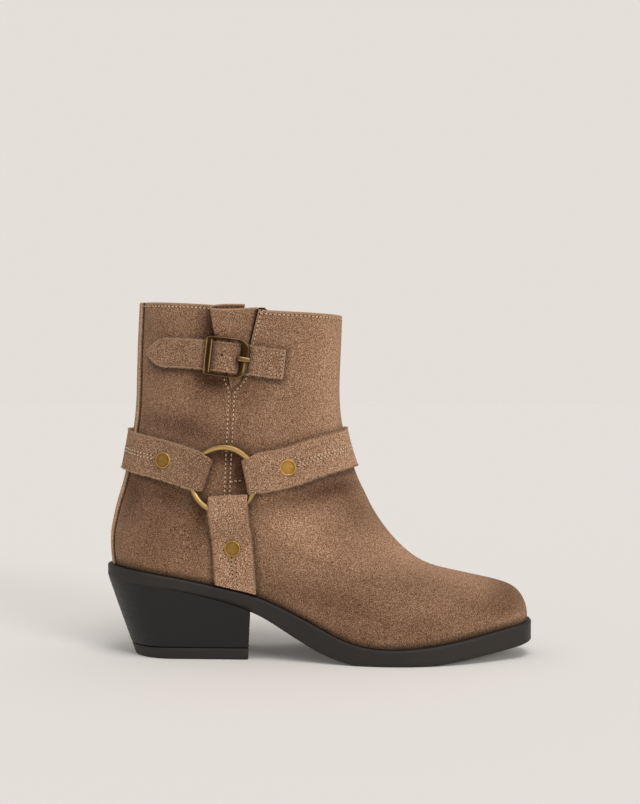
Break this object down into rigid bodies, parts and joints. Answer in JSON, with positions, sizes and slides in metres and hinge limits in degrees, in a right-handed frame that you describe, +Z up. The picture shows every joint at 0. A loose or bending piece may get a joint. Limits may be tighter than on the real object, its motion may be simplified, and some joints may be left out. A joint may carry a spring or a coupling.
{
  "type": "ankle boot",
  "caption": "Suede ankle boot for the right foot with a pleated, buckled side notch, a ring harness round the ankle and a slanted block heel; it stands empty and takes a foot.",
  "frame": {"origin": "on the floor under the middle of the heel", "axes": "+X towards the toe, -Y towards the outer side of the foot, +Z up"},
  "size_m": [0.269, 0.0964, 0.222],
  "materials": {
    "suede": "brushed suede with a mottled nap",
    "strap_suede": "brushed suede, a little lighter and hairier at its cut edges",
    "sole_rubber": "matt moulded rubber",
    "footbed": "smooth matt lining leather",
    "brass": "antique brass, dark in its recesses"
  },
  "bodies": {
    "root": {"outsole": "sole_rubber", "heel_block": "sole_rubber", "heel_top_piece": "sole_rubber", "insole": "footbed", "upper": "suede", "gusset": "strap_suede", "back_stay": "suede", "harness_ring": "brass", "harness_strap": "strap_suede", "lower_strap": "strap_suede", "rivet_front": "brass", "rivet_back": "brass", "rivet_lower": "brass", "buckle_strap": "strap_suede", "buckle_frame": "brass", "buckle_prong": "brass"}
  },
  "joints": []
}
